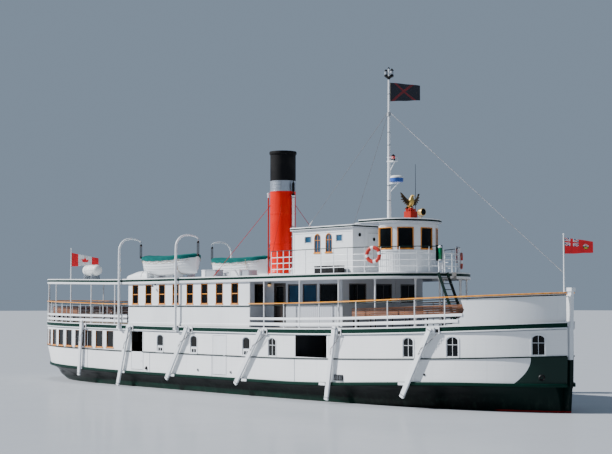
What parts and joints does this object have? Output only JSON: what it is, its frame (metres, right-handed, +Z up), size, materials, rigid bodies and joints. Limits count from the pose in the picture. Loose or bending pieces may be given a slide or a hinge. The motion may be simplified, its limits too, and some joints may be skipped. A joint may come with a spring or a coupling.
{
  "type": "lake passenger steamship",
  "caption": "Three-deck lake passenger steamship with one funnel, lifeboats on davits, swinging doors, steering rudder and turning screws.",
  "frame": {"origin": "on the waterline amidships, on the centreline", "axes": "+X towards the bow, +Y to port, +Z up"},
  "size_m": [39.4831, 7.84, 17.58],
  "materials": {
    "white_paint": "brushed gloss paint on boards",
    "green_paint": "dark green gloss paint",
    "hull_paint": "very dark green hull paint",
    "funnel_red": "red enamel with black top and silver band",
    "varnished_wood": "clear varnish",
    "bench_wood": "oiled brown slats",
    "boiler_grey": "matt grey",
    "steel_wire": "galvanised",
    "gilt": "gilded",
    "white_plastic": "satin",
    "flag_cloth": "woven bunting",
    "bronze": "cast bronze"
  },
  "bodies": {
    "ship": {"hull": "hull_paint", "main_wall_stbd": "white_paint", "main_wall_port": "white_paint", "main_wall_stern": "white_paint", "fore_wall_stbd": "white_paint", "fore_wall_port": "white_paint", "guard_stbd": "green_paint", "guard_port": "green_paint", "promenade_deck": "green_paint", "cabin_side_stbd": "white_paint", "cabin_side_port": "white_paint", "cabin_aft_wall": "white_paint", "cabin_fwd_wall": "white_paint", "saloon_side_stbd": "white_paint", "saloon_side_port": "white_paint", "saloon_front": "white_paint", "aft_rail": "white_paint", "fore_rail_stbd": "white_paint", "fore_rail_port": "white_paint", "bulwark_stbd": "white_paint", "bulwark_port": "white_paint", "porch_frame": "white_paint", "fore_bench_stbd": "bench_wood", "fore_bench_port": "bench_wood", "aft_bench": "bench_wood", "hurricane_deck": "green_paint", "officers_cabin": "white_paint", "officers_roof": "white_paint", "wheelhouse": "white_paint", "wheelhouse_roof": "white_paint", "hurricane_rail": "white_paint", "funnel": "funnel_red", "boiler_casing": "boiler_grey", "mast": "white_paint", "stays": "steel_wire", "figure": "gilt", "lifeboat_stbd": "white_paint", "lifeboat_port": "white_paint", "raft_canister": "white_plastic", "jackstaff": "white_paint", "stern_staff": "white_paint", "stern_flag": "flag_cloth", "mast_flag": "flag_cloth", "bow_flag": "flag_cloth", "foredeck_ladder": "green_paint"},
    "davit_aft_stbd": {"davit_aft_stbd": "white_paint"},
    "davit_fwd_stbd": {"davit_fwd_stbd": "white_paint"},
    "davit_aft_port": {"davit_aft_port": "white_paint"},
    "davit_fwd_port": {"davit_fwd_port": "white_paint"},
    "gangway_gate_stbd": {"gangway_gate_stbd": "white_paint"},
    "side_door_stbd": {"side_door_stbd": "white_paint"},
    "gangway_gate_port": {"gangway_gate_port": "white_paint"},
    "side_door_port": {"side_door_port": "white_paint"},
    "saloon_door_stbd": {"saloon_door_stbd": "varnished_wood"},
    "saloon_door_port": {"saloon_door_port": "varnished_wood"},
    "officers_door": {"officers_door": "white_paint"},
    "wheelhouse_door": {"wheelhouse_door": "varnished_wood"},
    "rudder": {"rudder": "hull_paint"},
    "propeller_stbd": {"propeller_stbd": "bronze"},
    "propeller_port": {"propeller_port": "bronze"}
  },
  "joints": [
    {"name": "davit_aft_stbd_swing", "type": "hinge", "parent": "ship", "child": "davit_aft_stbd", "pos_m": [-7.955, -3.83, 5], "axis": [0, 0, 1], "range_deg": [0, 180]},
    {"name": "davit_fwd_stbd_swing", "type": "hinge", "parent": "ship", "child": "davit_fwd_stbd", "pos_m": [-2.674, -3.83, 5], "axis": [0, 0, 1], "range_deg": [-180, 0]},
    {"name": "davit_aft_port_swing", "type": "hinge", "parent": "ship", "child": "davit_aft_port", "pos_m": [-7.955, 3.83, 5], "axis": [0, 0, 1], "range_deg": [-180, 0]},
    {"name": "davit_fwd_port_swing", "type": "hinge", "parent": "ship", "child": "davit_fwd_port", "pos_m": [-2.674, 3.83, 5], "axis": [0, 0, 1], "range_deg": [0, 180]},
    {"name": "gangway_gate_stbd_hinge", "type": "hinge", "parent": "ship", "child": "gangway_gate_stbd", "pos_m": [-6.903, -3.61, 1.4], "axis": [0, 0, 1], "range_deg": [0, 90]},
    {"name": "side_door_stbd_hinge", "type": "hinge", "parent": "ship", "child": "side_door_stbd", "pos_m": [0.322, -3.61, 1.9], "axis": [0, 0, 1], "range_deg": [0, 90]},
    {"name": "gangway_gate_port_hinge", "type": "hinge", "parent": "ship", "child": "gangway_gate_port", "pos_m": [-6.903, 3.61, 1.4], "axis": [0, 0, 1], "range_deg": [-90, 0]},
    {"name": "side_door_port_hinge", "type": "hinge", "parent": "ship", "child": "side_door_port", "pos_m": [0.322, 3.61, 1.9], "axis": [0, 0, 1], "range_deg": [-90, 0]},
    {"name": "saloon_door_stbd_hinge", "type": "hinge", "parent": "ship", "child": "saloon_door_stbd", "pos_m": [3.812, -2.54, 4.4], "axis": [0, 0, 1], "range_deg": [0, 90]},
    {"name": "saloon_door_port_hinge", "type": "hinge", "parent": "ship", "child": "saloon_door_port", "pos_m": [3.812, 2.54, 4.4], "axis": [0, 0, 1], "range_deg": [-90, 0]},
    {"name": "officers_door_hinge", "type": "hinge", "parent": "ship", "child": "officers_door", "pos_m": [8.27, -0.718, 6.8], "axis": [0, 0, 1], "range_deg": [0, 90]},
    {"name": "wheelhouse_door_hinge", "type": "hinge", "parent": "ship", "child": "wheelhouse_door", "pos_m": [9.96, 0.332, 6.8], "axis": [0, 0, 1], "range_deg": [-90, 0]},
    {"name": "rudder_steer", "type": "hinge", "parent": "ship", "child": "rudder", "pos_m": [-15.95, 0, -1.2], "axis": [0, 0, 1], "range_deg": [-35, 35]},
    {"name": "propeller_stbd_spin", "type": "hinge", "parent": "ship", "child": "propeller_stbd", "pos_m": [-14.25, -1.05, -1.45], "axis": [1, 0, 0], "continuous": true},
    {"name": "propeller_port_spin", "type": "hinge", "parent": "ship", "child": "propeller_port", "pos_m": [-14.25, 1.05, -1.45], "axis": [1, 0, 0], "continuous": true}
  ]
}
